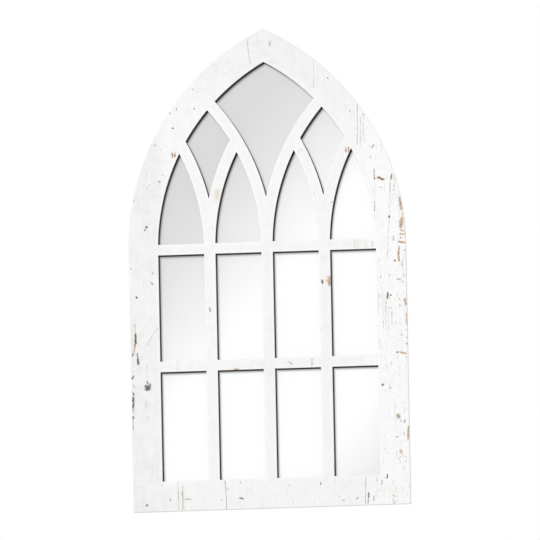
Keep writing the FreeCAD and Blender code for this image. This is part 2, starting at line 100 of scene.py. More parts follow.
class Sheet:
    # the node tree of a material or world, and the ways to fill it
    def __init__(self, owner):
        owner.use_nodes = True
        self.owner, self.tree = owner, owner.node_tree
        self.tree.nodes.clear()

    def pick(self, sockets, name):
        # a socket in use, by its name or its place among them
        usable = [socket for socket in sockets if socket.enabled]
        if isinstance(name, int):
            return usable[name]
        return next(socket for socket in usable if socket.name == name)

    def node(self, kind, settings=None, inputs=None, output=0):
        made = self.tree.nodes.new("ShaderNode" + kind)
        for name, value in (settings or {}).items():
            if name == "stops":
                self.setStops(made.color_ramp, value)
            else:
                setattr(made, name, value)
        for name, value in (inputs or {}).items():
            socket = self.pick(made.inputs, name)
            if isinstance(value, Wire):
                self.tree.links.new(value.socket, socket)
            else:
                isColour = socket.type == "RGBA" and len(value) == 3
                socket.default_value = (*value, 1) if isColour else value
        return Wire(self, self.pick(made.outputs, output)) if len(made.outputs) else None

    def setStops(self, ramp, stops):
        while len(ramp.elements) < len(stops):
            ramp.elements.new(0.5)
        for element, (position, grey) in zip(ramp.elements, stops):
            element.position = position
            element.color = (grey, grey, grey, 1)

    def combine(self, operation, first, second):
        wires = [value for value in (first, second) if isinstance(value, Wire)]
        kind = "VectorMath" if any(wire.isVector for wire in wires) else "Math"
        return self.node(kind, {"operation": operation}, {0: first, 1: second})

    def mix(self, share, first, second):
        inputs = {"Factor": share, "A": first, "B": second}
        return self.node("Mix", {"data_type": "RGBA"}, inputs)

    def place(self):
        return self.node("TexCoord", output="Object")

    def noise(self, vector, scale, detail=2.0, roughness=0.5, distortion=0.0):
        return self.node("TexNoise", None, {
            "Vector": vector, "Scale": scale, "Detail": detail,
            "Roughness": roughness, "Distortion": distortion,
        })

    def cells(self, vector, scale, output="Distance"):
        return self.node("TexVoronoi", None, {"Vector": vector, "Scale": scale}, output)

    def mark(self, name):
        return self.node("Attribute", {"attribute_name": name}, output="Fac")

    def surface(self, colour, roughness, height=None, depth=0, **fixed):
        # depth is the relief in metres for a height of 1
        inputs = {"Base Color": colour, "Roughness": roughness}
        if height is not None:
            relief = {"Height": height, "Strength": 1.0, "Distance": depth}
            inputs["Normal"] = self.node("Bump", None, relief)
        for name, value in fixed.items():
            inputs[name.replace("_", " ")] = value
        return self.node("BsdfPrincipled", None, inputs)

    def output(self, shader, kind="OutputMaterial"):
        self.node(kind, None, {"Surface": shader})
        return self.owner

    def finish(self, *values, **fixed):
        return self.output(self.surface(*values, **fixed))


def newSheet(name):
    return Sheet(bpy.data.materials.new(name))


def tone(grey):
    # a display value from 0 to 255 as a linear one
    share = grey / 255
    return share / 12.92 if share <= 0.04045 else ((share + 0.055) / 1.055) ** 2.4


def paint(red, green, blue):
    return tone(red), tone(green), tone(blue)


def newItem(name, data):
    item = bpy.data.objects.new(name, data)
    bpy.context.scene.collection.objects.link(item)
    return item


def newMesh(name, points, faces, *materials):
    mesh = bpy.data.meshes.new(name)
    mesh.from_pydata(points, [], faces)
    for material in materials:
        mesh.materials.append(material)
    return newItem(name, mesh)


def aim(item, place, direction, roll=0.0):
    turn = direction.to_track_quat("-Z", "Y")
    item.location = place
    item.rotation_mode = "QUATERNION"
    item.rotation_quaternion = turn @ Quaternion((0, 0, 1), math.radians(roll))


view = {
    "azimuth": 6.3,          # degrees to the right of straight on
    "elevation": -6.5,       # degrees, seen from a little below
    "lean": -1.13,           # degrees that the camera rolls
    "target": (0.0061, -0.032, -0.1923),   # metres
    "distance": 4.0,
    "width": 1.2795,         # metres across the picture
}


def makeCamera():
    turn, rise = math.radians(view["azimuth"]), math.radians(view["elevation"])
    back = Vector((math.sin(turn) * math.cos(rise), -math.cos(turn) * math.cos(rise),
                   math.sin(rise)))
    data = bpy.data.cameras.new("camera")
    data.type = "ORTHO"
    data.ortho_scale = view["width"]
    camera = newItem("camera", data)
    aim(camera, Vector(view["target"]) + back * view["distance"], -back, view["lean"])
    bpy.context.scene.camera = camera
    return back


light = {
    "ambient": 0.80,         # of the world on surfaces
    "key": (46, (-2.4, -3.0, 2.2)),  # watts and place of the lamp at the upper left in front
    "fill": (40, (1.8, 3.2, 1.8)),   # and of the one behind
    "lampSize": 2.2,
    "floorLevel": -1.75,
    "floorReach": 7.0,
    "floorWhite": 0.6,       # how far the floor is lifted to white where it is seen
}
square = ((-1, -1), (1, -1), (1, 1), (-1, 1))


def makeLamp(name):
    data = bpy.data.lights.new(name, "AREA")
    data.energy, place = light[name]
    data.size = light["lampSize"]
    lamp = newItem(name, data)
    aim(lamp, place, Vector(view["target"]) - Vector(place))
    lamp.visible_camera = False
    lamp.visible_glossy = False


def seenRays(sheet):
    # 1 for what the camera, a gloss or a clear piece sees
    seen = sheet.node("LightPath", output="Is Camera Ray")
    for name in ("Is Glossy Ray", "Is Transmission Ray"):
        seen = seen.most(sheet.node("LightPath", output=name))
    return seen


def makeWorld():
    sheet = Sheet(bpy.data.worlds.new("studio"))
    bpy.context.scene.world = sheet.owner
    strength = seenRays(sheet) * (1 - light["ambient"]) + light["ambient"]
    sheet.output(sheet.node("Background", None, {"Color": (1, 1, 1), "Strength": strength}),
                 "OutputWorld")


def makeFloor():
    sheet = newSheet("paleFloor")
    speckle = sheet.noise(sheet.place(), 40, 3)
    colour = sheet.mix(speckle, paint(246, 246, 246), paint(250, 250, 250))
    lit = sheet.surface(colour, 0.7)
    white = sheet.node("Emission", None, {"Color": (1, 1, 1), "Strength": 1.0})
    share = seenRays(sheet) * light["floorWhite"]
    material = sheet.output(sheet.node("MixShader", None, {0: share, 1: lit, 2: white}))
    reach = light["floorReach"]
    corners = [(x * reach, y * reach, light["floorLevel"]) for x, y in square]
    floor = newMesh("floor", corners, [(0, 1, 2, 3)], material)


card = {
    "distance": 2.6,         # metres in front of the glass
    "reach": (1.1, 1.3),     # metres, half its width and height
    "drop": 0.19,            # metres that its middle hangs lower than the frame's origin
    "softEdge": 0.35,        # metres over which its border fades to white
    "strength": 1.03,        # makes up for what the glass swallows
    # the grey seen in the glass by its place along a line that runs down to the right, where a
    # metre across and a metre down count these steps, from this start in the middle
    "stops": [(261, 217), (307, 228), (390, 255), (540, 255), (620, 229)],
    "steps": (314.1, 278.0),
    "start": 324.2,
}


def makeCard(back):
    # the glass sees this card; it hangs where the straight reflection of the view falls
    shift = Vector((back.x / back.y, 0, back.z / back.y)) * card["distance"]
    sheet = newSheet("greyCard")
    place = sheet.place()
    across, upright = place.part("X"), place.part("Z")
    along = across * card["steps"][0] - upright * card["steps"][1] + card["start"]
    first, last = card["stops"][0][0], card["stops"][-1][0]
    stops = [((at - first) / (last - first), tone(grey)) for at, grey in card["stops"]]
    share = sheet.node("MapRange", None, {"Value": along, "From Min": first, "From Max": last})
    grey = sheet.node("ValToRGB", {"stops": stops}, {"Fac": share})
    (wide, high), edge, drop = card["reach"], card["softEdge"], card["drop"]
    border = abs(across).fade(wide - edge, wide).most(abs(upright + drop).fade(high - edge, high))
    colour = sheet.mix(border, grey, (1, 1, 1))
    glow = sheet.node("Emission", None, {"Color": colour, "Strength": card["strength"]})
    corners = [(x * wide, 0, z * high - drop) for x, z in square]
    made = newMesh("card", corners, [(0, 1, 2, 3)], sheet.output(glow))
    made.location = Vector((0, mirrorLow.y / 1000 - card["distance"], 0)) + shift
    for ray in ("camera", "diffuse", "transmission", "volume_scatter", "shadow"):
        setattr(made, "visible_" + ray, False)


bpy.context.scene.view_settings.view_transform = "Standard"
viewBack = makeCamera()
makeWorld()
makeLamp("key")
makeLamp("fill")
makeFloor()
makeCard(viewBack)
print("camera, floor, card and lamps made")


def readLoops(node, level):
    # closed outlines of the node's flat side at a level of Y, as (x, height) points
    mesh = node.data
    count, joins = {}, {}

    def key(index):
        spot = mesh.vertices[index].co * 1000
        return round(spot.x, 3), round(spot.z - bottomEdge, 3)

    for polygon in mesh.polygons:
        if all(abs(mesh.vertices[i].co.y * 1000 - level) < 0.001 for i in polygon.vertices):
            ring = [key(i) for i in polygon.vertices]
            for edge in zip(ring, ring[1:] + ring[:1]):
                pair = tuple(sorted(edge))
                count[pair] = count.get(pair, 0) + 1
    for first, second in (pair for pair, uses in count.items() if uses == 1):
        joins.setdefault(first, []).append(second)
        joins.setdefault(second, []).append(first)
    loops, left = [], set(joins)
    while left:
        here = min(left)
        loop = []
        while here:
            loop.append(here)
            left.discard(here)
            here = next((spot for spot in joins[here] if spot in left), None)
        loops.append(loop)
    return loops


def areaOf(loop):
    pairs = zip(loop, loop[1:] + loop[:1])
    return sum(a[0] * b[1] - b[0] * a[1] for a, b in pairs) / 2


def circleThrough(a, b, c):
    # centre of the circle through three points, or None for a straight run
    ax, ay, bx, by, cx, cy = *a, *b, *c
    double = 2 * (ax * (by - cy) + bx * (cy - ay) + cx * (ay - by))
    if abs(double) < 1e-3:
        return None
    sa, sb, sc = ax * ax + ay * ay, bx * bx + by * by, cx * cx + cy * cy
    return ((sa * (by - cy) + sb * (cy - ay) + sc * (ay - by)) / double,
            (sa * (cx - bx) + sb * (ax - cx) + sc * (bx - ax)) / double)


def resample(loop, step, longRun=40, sharpTurn=12):
    # even points along the true lines and arcs that the loop's chords stand for
    total = len(loop)
    vectors = [Vector(p) for p in loop]
    breaks = []
    for i in range(total):
        before = vectors[i] - vectors[i - 1]
        after = vectors[(i + 1) % total] - vectors[i]
        turn = math.degrees(abs(before.angle_signed(after)))
        if turn > sharpTurn or (before.length > longRun) != (after.length > longRun):
            breaks.append(i)
    points = []
    for first, last in zip(breaks, breaks[1:] + [breaks[0] + total]):
        run = [loop[i % total] for i in range(first, last + 1)]
        length = sum(math.dist(a, b) for a, b in zip(run, run[1:]))
        pieces = max(1, round(length / step))
        shares = [i / pieces for i in range(pieces)]
        centre = circleThrough(run[0], run[len(run) // 2], run[-1]) if len(run) > 2 else None
        if centre is None:
            points += [tuple(a + (b - a) * share for a, b in zip(run[0], run[-1]))
                       for share in shares]
            continue
        start, end = (math.atan2(p[1] - centre[1], p[0] - centre[0]) for p in (run[0], run[-1]))
        swing = (end - start + math.pi) % (2 * math.pi) - math.pi
        radius = math.dist(run[0], centre)
        points += [(centre[0] + radius * math.cos(start + swing * share),
                    centre[1] + radius * math.sin(start + swing * share)) for share in shares]
    return points


def leftNormals(points):
    # mitred normals, one for each point, towards the left of the way round
    ring = np.array(points)
    ahead = np.roll(ring, -1, 0) - ring
    ahead /= np.linalg.norm(ahead, axis=1)[:, None]
    normal = np.stack([-ahead[:, 1], ahead[:, 0]], 1)
    before = np.roll(normal, 1, 0)
    return (normal + before) / (1 + (normal * before).sum(1))[:, None]


def spotsNear(spots, ring, room=0):
    # numbers of the spots in the box round a ring, widened by the room
    inBox = (spots >= ring.min(0) - room) & (spots <= ring.max(0) + room)
    return np.nonzero(inBox.all(1))[0]


def insideAny(spots, loops):
    # how many of the loops hold each spot
    held = np.zeros(len(spots), int)
    for ring in map(np.array, loops):
        near = spotsNear(spots, ring)
        x, y = spots[near, 0][:, None], spots[near, 1][:, None]
        nextRing = np.roll(ring, -1, 0)
        crosses = (ring[:, 1] > y) != (nextRing[:, 1] > y)
        rise = nextRing[:, 1] - ring[:, 1]
        rise = np.where(rise == 0, 1e-9, rise)
        meet = ring[:, 0] + (y - ring[:, 1]) * (nextRing[:, 0] - ring[:, 0]) / rise
        held[near] += (crosses & (x < meet)).sum(1) % 2
    return held


def signedDistance(spots, loops, room=25, batch=1500):
    # distance to the nearest outline within the room, above 0 inside an opening
    best = np.full(len(spots), 1e9)
    for ring in map(np.array, loops):
        near = spotsNear(spots, ring, room)
        run = np.roll(ring, -1, 0) - ring
        for part in np.array_split(near, max(1, len(near) // batch)):
            gap = spots[part][:, None] - ring
            share = np.clip((gap * run).sum(2) / (run * run).sum(1), 0, 1)
            away = np.linalg.norm(gap - share[..., None] * run, axis=2).min(1)
            best[part] = np.minimum(best[part], away)
    return np.where(insideAny(spots, loops) > 0, best, -best)


def inSheet(spots, rings):
    # whether each spot is inside the first ring and outside the others
    return (insideAny(spots, rings[:1]) == 1) & (insideAny(spots, rings[1:]) == 0)


def facesBetween(rings, extra):
    # triangles inside the first ring and outside the others, with the rings' point numbers
    spots, edges = [], []
    for ring in rings:
        start, count = len(spots), len(ring)
        spots += [tuple(p) for p in ring]
        edges += [(start + i, start + (i + 1) % count) for i in range(count)]
    vectors = [Vector(p) for p in spots + extra]
    newSpots, _, triangles, origins, *_ = delaunay_2d_cdt(vectors, edges, [], 0, 1e-5)
    newIndex = {source: index for index, sources in enumerate(origins) for source in sources}
    flat = np.array([tuple(p) for p in newSpots])
    keep = inSheet(flat[np.array(triangles)].mean(1), rings)
    kept = [tuple(t) for t, good in zip(triangles, keep) if good]
    return flat, kept, [newIndex[i] for i in range(len(spots))]


# A mark is half its width, its strength and the points (across, height) of its stroke.
faceMarks = {
    "bare": [
        (3.4, 1.0, 319, 729, 321, 715, 322, 703), (2.4, 0.9, 325, 690),
        (4.8, 1.0, 323, 678, 321, 668, 320, 662), (2.2, 0.9, 319, 653, 327, 650),
        (2.3, 0.9, 318, 643, 328, 642), (2.3, 1.0, 314, 625, 329, 622),
        (2.3, 1.0, 315, 612, 313, 597, 314, 580), (2.6, 0.9, 304, 580),
        (2.8, 1.0, 326, 487, 329, 475), (1.9, 0.8, 329, 453, 330, 427), (2.0, 0.9, 329, 396),
        (2.2, 0.9, 329, 381), (1.6, 0.9, 303, 361, 310, 362), (2.5, 1.0, 315, 361, 325, 358),
        (4.2, 1.0, 305, 211, 306, 207), (2.4, 1.0, 329, 182, 328, 166),
        (2.2, 1.0, 328, 164, 327, 152),
        (1.3, 0.9, 276, 69, 276, 63), (1.1, 0.8, 268, 63, 276, 62),
        (2.7, 1.0, 267, 778, 272, 779), (2.9, 1.0, 275, 776, 281, 774), (2.0, 0.9, 259, 776),
        (3.6, 1.0, 146, 545, 147, 528), (2.2, 0.9, 140, 538),
        (1.5, 0.8, 102, 352, 102, 336), (1.5, 0.9, 46, 347, 54, 341),
        (1.5, 0.8, 100, 344, 105, 341),
        (2.0, 0.9, -84, 333, -74, 333), (1.8, 0.8, 13, 332), (2.0, 1.0, -77, 26, -67, 23),
        (2.6, 0.7, -286, 678, -290, 671), (1.9, 1.0, -140, 481, -138, 473),
        (1.7, 0.8, -319, 400, -321, 388, -325, 374), (1.8, 1.0, -222, 853, -221, 843),
        (1.6, 1.0, -215, 853, -216, 844), (1.8, 1.0, 192, 853, 193, 843),
        (1.8, 1.0, 199, 853, 199, 843), (3.2, 1.0, -298, 15), (1.8, 0.8, -326, 262, -326, 240),
        (3.4, 0.85, 310, 126, 311, 122), (2.7, 0.9, 286, 503, 285, 491), (2.2, 0.9, 293, 498),
        (1.8, 1.0, 301, 787, 299, 774), (1.9, 0.7, 284, 276, 289, 277),
    ],
    "dark": [
        (0.9, 0.8, 300, 784, 299, 776), (1.5, 0.8, 289, 777),
        (2.1, 1.0, 293, 686, 293, 683), (2.0, 1.0, 260, 778),
        (1.3, 1.0, -74, 26, -69, 24), (1.7, 1.0, 319, 634),
        (1.4, 1.0, 286, 503, 284, 493), (1.8, 1.0, 293, 498), (1.8, 1.0, 268, 779, 272, 779),
        (1.6, 1.0, 277, 776, 279, 774), (2.7, 1.0, -286, 679), (1.5, 1.0, -290, 671),
        (1.3, 0.7, 306, 209), (1.6, 0.9, 311, 125), (1.2, 0.8, 304, 362, 308, 362),
        (1.3, 0.65, 329, 180, 328, 154), (2.1, 1.0, 269, 284, 271, 286), (1.4, 0.8, 286, 277),
        (2.3, 1.0, 130, 538, 131, 532), (1.0, 0.8, 50, 345), (1.0, 0.7, 102, 343),
        (1.5, 0.7, 117, 57, 117, 51), (1.4, 0.6, -291, 71), (2.2, 1.0, -298, 16),
        (1.3, 0.7, -214, 43, -214, 38), (2.9, 1.0, -313, 511), (1.8, 0.8, -315, 741),
        (1.8, 0.9, -220, 913, -218, 912), (1.5, 1.0, -221, 850, -220, 848),
        (1.5, 1.0, -215, 848, -215, 846), (1.4, 1.0, 192, 847), (1.4, 1.0, 199, 851),
        (1.8, 0.9, 153, 1020), (1.6, 0.8, 204, 940), (1.6, 0.8, 235, 932), (1.4, 0.7, 176, 921),
        (1.5, 0.8, 254, 850, 259, 857), (1.5, 0.8, 157, 724), (1.4, 0.7, 114, 746),
        (1.4, 0.7, -167, 618), (1.3, 0.7, -6, 629), (1.2, 0.9, 276, 71, 276, 62),
        (6.8, 1.0, -291, 295), (2.6, 1.0, -295, 300), (2.3, 1.0, -286, 299, -284, 304),
        (1.6, 0.9, -290, 304, -292, 311), (0.9, 0.6, -318, 450, -317, 424),
        (2.2, 1.0, -317, 424, -317, 416), (2.5, 1.0, -318, 412, -317, 403),
        (1.4, 0.8, -319, 402, -320, 392), (1.4, 0.8, -324, 377, -326, 372),
        (1.3, 0.9, -314, 378, -313, 366), (2.5, 1.0, -313, 364, -312, 353),
        (2.0, 1.0, -328, 318, -326, 321), (1.2, 0.8, -325, 322, -323, 326),
        (1.8, 0.9, -326, 285, -324, 279), (2.8, 1.0, -325, 273, -326, 265),
        (1.9, 0.9, -325, 260, -327, 250), (1.4, 0.6, -327, 246, -327, 236),
        (2.3, 1.0, -327, 227, -327, 225), (2.0, 1.0, 304, 580), (1.6, 0.9, 231, 28, 231, 18),
        (1.2, 0.9, 328, 382, 328, 379),
    ],
    "speck": [
        (1.6, 0.8, 249, 855), (2.2, 0.9, 250, 829), (2.2, 0.4, 278, 809), (1.8, 0.9, 274, 756),
        (1.7, 0.9, 282, 755), (2.2, 0.6, 302, 729), (1.6, 0.9, 302, 638, 302, 628),
        (2.2, 0.9, 328, 604), (1.8, 0.6, 318, 170, 318, 163), (1.6, 0.7, 321, 574, 321, 568),
        (2.2, 0.7, 291, 546), (1.6, 0.7, 325, 548, 326, 541), (1.7, 0.9, 309, 536, 317, 534),
        (2.2, 0.9, 322, 529), (1.6, 0.4, 290, 513), (1.4, 0.65, 266, 502, 266, 493),
        (1.8, 1.0, 282, 480), (1.6, 0.6, 290, 466, 294, 469), (2.0, 0.9, 313, 488),
        (2.4, 0.85, 314, 472), (1.6, 0.7, 315, 441), (1.6, 0.7, 314, 431), (2.0, 1.0, 317, 403),
        (2.0, 0.7, 328, 414), (2.6, 0.65, 327, 348), (1.8, 0.5, 278, 290), (1.6, 0.5, 322, 275),
        (2.0, 0.5, 317, 216), (2.0, 0.9, 312, 197), (1.9, 1.0, 320, 199, 320, 194),
        (1.4, 0.8, 298, 160, 305, 160), (2.0, 0.6, 309, 167), (1.8, 0.8, 308, 112),
        (1.6, 0.9, 306, 106), (1.7, 0.8, 308, 99), (1.8, 0.9, 322, 111), (1.8, 0.9, 321, 100),
        (1.5, 0.6, 315, 113), (1.6, 0.9, 263, 57, 263, 48), (1.5, 0.6, 285, 22, 297, 18),
        (2.0, 0.7, 300, 7), (2.0, 0.5, 264, 5), (2.0, 0.8, 42, 52), (1.6, 0.8, 160, 21),
        (1.8, 0.8, 168, 13, 172, 12), (1.7, 0.8, 190, 8), (2.0, 0.8, 201, 15, 206, 18),
        (1.6, 0.6, 212, 30), (1.6, 0.9, 243, 20, 243, 10), (1.8, 0.9, -120, 22),
        (1.5, 0.9, -206, 27, -194, 27), (1.6, 0.9, -242, 29, -242, 25), (1.6, 0.6, -242, 46),
        (1.8, 0.6, -262, 62), (1.6, 0.5, -179, 9), (1.6, 0.7, -74, 65, -74, 60),
        (1.3, 0.6, -108, 48, -101, 48), (2.0, 0.9, -262, 873), (2.0, 0.6, -249, 862),
        (2.2, 0.4, -280, 842), (2.0, 0.5, -290, 815), (2.0, 0.45, -278, 817),
        (2.0, 0.45, -283, 802), (1.8, 0.8, -245, 801), (2.2, 0.45, -273, 796),
        (2.2, 1.0, -255, 786, -252, 785), (2.6, 0.6, -283, 771), (1.8, 0.6, -271, 750),
        (2.6, 0.35, -294, 693), (2.4, 0.35, -301, 600), (2.2, 0.9, -325, 581),
        (2.0, 1.0, -274, 568), (2.0, 1.0, -277, 545, -274, 541), (1.4, 0.6, -283, 549),
        (1.8, 0.6, -325, 303, -322, 297), (1.9, 0.9, -170, 1003), (1.7, 0.5, -182, 1001),
        (1.7, 0.8, -209, 960, -209, 955), (1.8, 0.5, -187, 958), (2.2, 1.0, -167, 957),
        (1.9, 1.0, -225, 948), (1.6, 0.5, -153, 966), (1.8, 0.5, -88, 1020),
        (1.5, 0.5, -211, 912), (2.2, 0.8, 16, 1110, 16, 1103), (1.6, 0.45, 10, 1064, 30, 1063),
    ],
    "line": [
        (0.7, 0.5, 298, 784, 296, 740, 295, 716), (1.2, 0.5, 296, 765, 296, 744),
        (0.6, 0.4, 295, 716, 293, 684), (0.6, 0.45, 293, 684, 289, 633, 286, 586),
        (1.3, 0.7, 259, 800, 259, 782), (0.7, 0.8, 259, 724, 258, 700),
        (0.5, 0.4, 261, 780, 259, 730), (0.6, 0.4, 246, 520, 248, 470, 247, 432),
        (0.5, 0.4, 262, 510, 263, 450), (0.6, 0.5, 254, 500, 255, 440),
        (0.5, 0.4, 287, 470, 286, 400),
        (0.5, 0.5, 310, 790, 306, 744), (0.6, 0.5, 309, 742, 303, 735),
        (0.8, 0.5, -38, 1116, -36, 1096, -31, 1060), (0.5, 0.45, 120, 1068, 119, 998),
        (0.5, 0.6, 222, 958, 220, 860), (0.4, 0.5, 229, 925, 228, 858),
        (0.4, 0.5, 236, 930, 236, 862), (0.5, 0.5, -223, 70, -223, 3), (0.6, 0.7, -212, 60, -213, 3),
        (0.7, 0.7, -111, 68, -109, 40, -108, 0), (0.6, 0.7, 225, 68, 223, 3),
        (1.0, 0.9, 230, 18, 229, 3), (1.0, 0.45, -264, 436, -276, 422, -284, 408, -291, 397),
        (0.5, 0.5, -295, 268, -296, 246), (0.9, 0.5, -297, 224, -289, 226),
        (1.2, 0.35, -292, 350, -291, 320), (1.6, 0.5, -327, 222, -327, 195),
        (0.5, 0.3, 220, 633, 220, 611), (0.5, 0.3, 239, 633, 239, 611),
        (0.5, 0.35, -219, 355, -219, 333), (0.5, 0.35, 220, 355, 221, 333),
        (0.5, 0.25, -212, 355, -213, 333), (0.5, 0.4, 272, 520, 274, 420),
        (0.5, 0.4, 280, 500, 281, 410), (0.5, 0.5, 295, 465, 294, 425),
        (0.5, 0.4, -110, 610, -110, 560), (0.5, 0.5, 252, 66, 250, 54),
    ],
    "stain": [
        (6.0, 0.5, -323, 446, -322, 376), (3.0, 0.35, -318, 458, -317, 440),
        (3.5, 0.4, -310, 345, -309, 330),
        (6.5, 1.0, -116, 758, -116, 746), (5.0, 0.6, 85, 850), (1.6, 0.8, -222, 46, -222, 4),
        (1.6, 0.8, -210, 46, -211, 4), (1.4, 0.7, 209, 633, 209, 611),
        (1.4, 0.7, 216, 633, 216, 611), (1.4, 0.7, 235, 633, 235, 611),
        (14.0, 0.3, 262, 36, 310, 30), (5.0, 0.35, 277, 500, 278, 440),
        (7.0, 0.35, 322, 700, 322, 640), (4.0, 0.35, 325, 480, 327, 430),
    ],
}

face = {
    "rounding": 0.8,         # of the edges around the front
    "rearRounding": 0.4,
    "flatBand": 1.0,         # from the rounding to the first points on the front
    "sideRows": (5.0, 11.0),     # depths of the rows of points down the cut sides
    "paintDepth": 0.5,       # the openings' sides are dark where a row starts deeper than this
    "outerStep": 2.0,        # spacing of points along the outside
    "windowStep": 4.0,       # and along the openings
    "pitch": 7.0,            # spacing of points over the front
    "markPitch": 1.3,        # and where marks lie
    "stainPitch": 3.0,
    "closest": 0.9,          # about the least distance between such points, and to an edge
    "edgeRoom": 0.55,        # shares of the pitch that stay clear along edges and round marks
    "markRoom": 0.6,
    "wave": 0.10,            # how far the paint's surface wanders
    "wander": (0.02, 0.008, 3.1),    # waves to a millimetre across and up, and layer of the noise
    "chatter": (0.21, 0.21, 7.7),    # the same for the ragged edges
    # how deep a mark sinks, and twice the strength at which it starts to
    "depths": {"bare": (0.35, 0.4), "dark": (0.55, 0.6), "line": (0.45, 0.8)},
    "edgeLoss": 1.1,         # how far a bare mark eats into the edge
    "lossReach": 6,          # and how far down the cut sides
    "markFade": (1.15, 9),   # marks on the sides have this, less the depth divided by that
    "whiteRim": 3.2,         # width of the painted highlight, a whiter band round the openings
    "frameWidth": 20,        # sides further than this from an opening are the outside's
}


def strokeDistance(spots, stroke):
    points = np.array(stroke, float).reshape(-1, 2)
    if len(points) == 1:
        return np.linalg.norm(spots - points[0], axis=1)
    best = np.full(len(spots), 1e9)
    for a, b in zip(points, points[1:]):
        run = b - a
        share = np.clip(((spots - a) @ run) / (run @ run), 0, 1)
        best = np.minimum(best, np.linalg.norm(spots - a - share[:, None] * run, axis=1))
    return best


def markField(kind, spots):
    # a mark's strength in its middle, half of it at its edge and 0 at twice that distance
    field = np.zeros(len(spots))
    for half, strength, *stroke in faceMarks[kind]:
        value = strength * np.clip(1 - strokeDistance(spots, stroke) / (2 * half), 0, 1)
        field = np.maximum(field, value)
    return field


def markPoints():
    # closer points where marks lie, with every stroke's own middle line
    cells = {}

    def keep(spot):
        cells.setdefault(tuple(np.round(spot / face["closest"]).astype(int)), tuple(spot))

    for kind, marks in faceMarks.items():
        fine = face["stainPitch"] if kind == "stain" else face["markPitch"]
        for half, _, *stroke in marks:
            points = np.array(stroke, float).reshape(-1, 2)
            for a, b in zip(points, points[1:] if len(points) > 1 else points):
                pieces = max(1, round(math.dist(a, b) / fine))
                for i in range(pieces + 1):
                    keep(a + (b - a) * i / pieces)
            reach = 2 * half + fine
            low = np.floor((points.min(0) - reach) / fine).astype(int)
            high = np.ceil((points.max(0) + reach) / fine).astype(int)
            grid = np.array([(i, j) for i in range(low[0], high[0])
                             for j in range(low[1], high[1])], float)
            stray = np.array([[random.random(), random.random()] for _ in grid])
            grid = (grid + 0.25 * stray) * fine
            away = strokeDistance(grid, stroke)
            for spot in grid[(away < reach) & (away > 0.8 * min(fine, 2 * half))]:
                keep(spot)
    return list(cells.values())


def spreadPoints(outer, pitch, stray=0.2, rowHeight=0.87):
    # loosely even points over the whole outline; the last two are shares of the pitch
    low, high = np.array(outer).min(0), np.array(outer).max(0)
    points, row, height = [], 0, low[1]
    while height < high[1]:
        across = low[0] + (row % 2) * pitch / 2
        while across < high[0]:
            points.append((across + random.uniform(-stray, stray) * pitch,
                           height + random.uniform(-stray, stray) * pitch))
            across += pitch
        height += pitch * rowHeight
        row += 1
    return points


def clearOf(points, others, room):
    tree = kdtree.KDTree(len(others))
    for index, spot in enumerate(others):
        tree.insert((*spot, 0), index)
    tree.balance()
    return [p for p in points if tree.find((*p, 0))[2] > room]


def onSheet(points, rings, room):
    # the points inside the first ring and outside the others, and clear of them all
    spots = np.array(clearOf(points, np.concatenate(rings), room))
    return spots[inSheet(spots, rings)].tolist()


def band(upper, lower):
    # quads between two closed rings of point numbers
    return [(upper[i - 1], upper[i], lower[i], lower[i - 1])
            for i in (*range(1, len(upper)), 0)]


def sheetPiece(name, loops, rows, extra, front, shift, *materials):
    # a closed sheet between two flat sides, its outside first in the loops; rows are
    # (inset, depth) from front to rear, and shift gives the points' moved places and how far
    # they sink from their places, depths and normals
    normals = [leftNormals(loop) for loop in loops]
    allNormals = np.concatenate(normals)

    def ringsAt(inset):
        return [np.array(loop) + normal * inset for loop, normal in zip(loops, normals)]

    flat, faces, frontRing = facesBetween(ringsAt(rows[0][0]), extra)
    flatNormals = np.zeros_like(flat)
    flatNormals[frontRing] = allNormals
    blocks, rings, total = [(flat, flatNormals)], [frontRing], len(flat)
    for inset, _ in rows[1:-1]:
        blocks.append((np.concatenate(ringsAt(inset)), allNormals))
        rings.append([total + i for i in range(len(allNormals))])
        total += len(allNormals)
    back, rearFaces, rearRing = facesBetween(ringsAt(rows[-1][0]), [])
    blocks.append((back, np.zeros_like(back)))
    rings.append([total + i for i in rearRing])
    faces += [tuple(total + i for i in reversed(t)) for t in rearFaces]
    origins = [(0, 0)] * len(faces)      # each face's loop and depth
    for upper, lower, (_, depth) in zip(rings, rings[1:], rows):
        start = 0
        for number, loop in enumerate(loops):
            end = start + len(loop)
            faces += band(upper[start:end], lower[start:end])
            origins += [(number, depth)] * len(loop)
            start = end
    spots, outward = (np.concatenate(part) for part in zip(*blocks))
    depths = np.concatenate([np.full(len(block[0]), row[1]) for block, row in zip(blocks, rows)])
    moved, sunk = shift(spots, depths, outward)
    places = np.stack([moved[:, 0], front + depths + sunk, moved[:, 1] + bottomEdge], 1) / 1000
    item = newMesh(name, places.tolist(), faces, *materials)
    fixNormals(item.data)
    return item, spots, depths, origins


def fixNormals(mesh):
    work = bmesh.new()
    work.from_mesh(mesh)
    bmesh.ops.recalc_face_normals(work, faces=work.faces)
    work.to_mesh(mesh)
    work.free()


def addField(item, name, values):
    layer = item.data.attributes.new(name, "FLOAT", "POINT")
    layer.data.foreach_set("value", values.astype(np.float32))


def specks(sheet, place, scale, size, share):
    # small dots, one to a cell of a loose grid, in a share of the cells
    cell, pick = sheet.cells(place, scale), sheet.cells(place, scale, "Color")
    radius = pick.part("Green") * size * 0.8 + size * 0.4
    return (cell / radius).fade(0.6, 1.2, 1.0, 0.0) * (pick.part("Red") < share)


